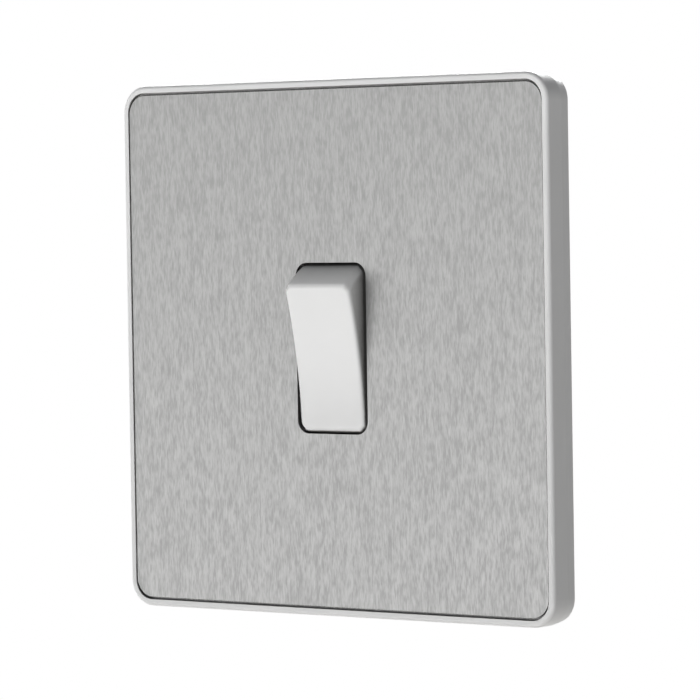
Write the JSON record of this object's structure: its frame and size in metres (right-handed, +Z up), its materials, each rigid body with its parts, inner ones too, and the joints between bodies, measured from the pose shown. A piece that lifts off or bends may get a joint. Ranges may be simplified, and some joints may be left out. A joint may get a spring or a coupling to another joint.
{
  "type": "intermediate light switch",
  "caption": "Square intermediate rocker light switch with a clip-on brushed steel front in a white surround, mounting plate, rear switch module and earth terminal.",
  "frame": {"origin": "middle of the plate on the wall plane, halfway between the two fixing slots", "axes": "+X to the right and +Z up as the switch hangs on a wall, the front faces -Y and the switch module reaches into the back box along +Y"},
  "size_m": [0.095, 0.0335, 0.095],
  "materials": {
    "steel_sheet": "fine vertical brushed grain, satin lacquer",
    "surround_white": "smooth white moulding",
    "mounting_white": "plain white moulding",
    "rocker_white": "smooth white moulding",
    "base_moulding": "plain heat-resistant moulding",
    "plunger_nylon": "natural nylon",
    "spring_steel": "bright drawn wire",
    "clip_steel": "bright spring strip",
    "strip_copper": "rolled copper strip",
    "contact_silver": "dull silver contact face",
    "terminal_brass": "sawn and drilled brass bar",
    "screw_plated": "zinc plated steel"
  },
  "bodies": {
    "switch_body": {"mounting_plate": "mounting_white", "switch_base": "base_moulding", "housing_screws": "screw_plated", "plate_clips": "clip_steel", "common_terminal_left": "strip_copper", "common_terminal_right": "strip_copper", "cross_strip_front": "strip_copper", "cross_strip_rear": "strip_copper", "fixed_contacts": "contact_silver", "terminal_block_upper_left": "terminal_brass", "terminal_block_upper_right": "terminal_brass", "terminal_block_lower_left": "terminal_brass", "terminal_block_lower_right": "terminal_brass", "terminal_screws": "screw_plated", "earth_block": "terminal_brass", "earth_screw": "screw_plated", "earth_spring": "spring_steel"},
    "cover": {"front_plate": "steel_sheet", "plate_surround": "surround_white"},
    "rocker_arm": {"rocker": "rocker_white", "plunger_spring_left": "spring_steel", "plunger_spring_right": "spring_steel"},
    "left_plunger": {"plunger_left": "plunger_nylon"},
    "right_plunger": {"plunger_right": "plunger_nylon"},
    "left_blade": {"contact_blade_left": "strip_copper", "moving_contacts_left": "contact_silver"},
    "right_blade": {"contact_blade_right": "strip_copper", "moving_contacts_right": "contact_silver"}
  },
  "joints": [
    {"name": "rocker_pivot", "type": "hinge", "parent": "switch_body", "child": "rocker_arm", "pos_m": [0, 0.0012, 0], "axis": [-1, 0, 0], "range_deg": [0, 19]},
    {"name": "left_blade_pivot", "type": "hinge", "parent": "switch_body", "child": "left_blade", "pos_m": [0, 0.01, 0], "axis": [1, 0, 0], "range_deg": [0, 15]},
    {"name": "right_blade_pivot", "type": "hinge", "parent": "switch_body", "child": "right_blade", "pos_m": [0, 0.01, 0], "axis": [1, 0, 0], "range_deg": [0, 15]},
    {"name": "left_plunger_slide", "type": "slide", "parent": "rocker_arm", "child": "left_plunger", "axis": [0, -0.9863, -0.165], "range_m": [0, 0.0008], "stiffness_N_per_m": 400, "deforming": ["plunger_spring_left"]},
    {"name": "right_plunger_slide", "type": "slide", "parent": "rocker_arm", "child": "right_plunger", "axis": [0, -0.9863, -0.165], "range_m": [0, 0.0008], "stiffness_N_per_m": 400, "deforming": ["plunger_spring_right"]},
    {"name": "cover_release", "type": "slide", "parent": "switch_body", "child": "cover", "axis": [0, -1, 0], "range_m": [0, 0.02], "deforming": ["plate_clips", "earth_spring"]}
  ],
  "couplings": [
    {"joint": "left_blade_pivot", "follows": "rocker_pivot", "ratio": 0.78947},
    {"joint": "right_blade_pivot", "follows": "rocker_pivot", "ratio": 0.78947}
  ]
}
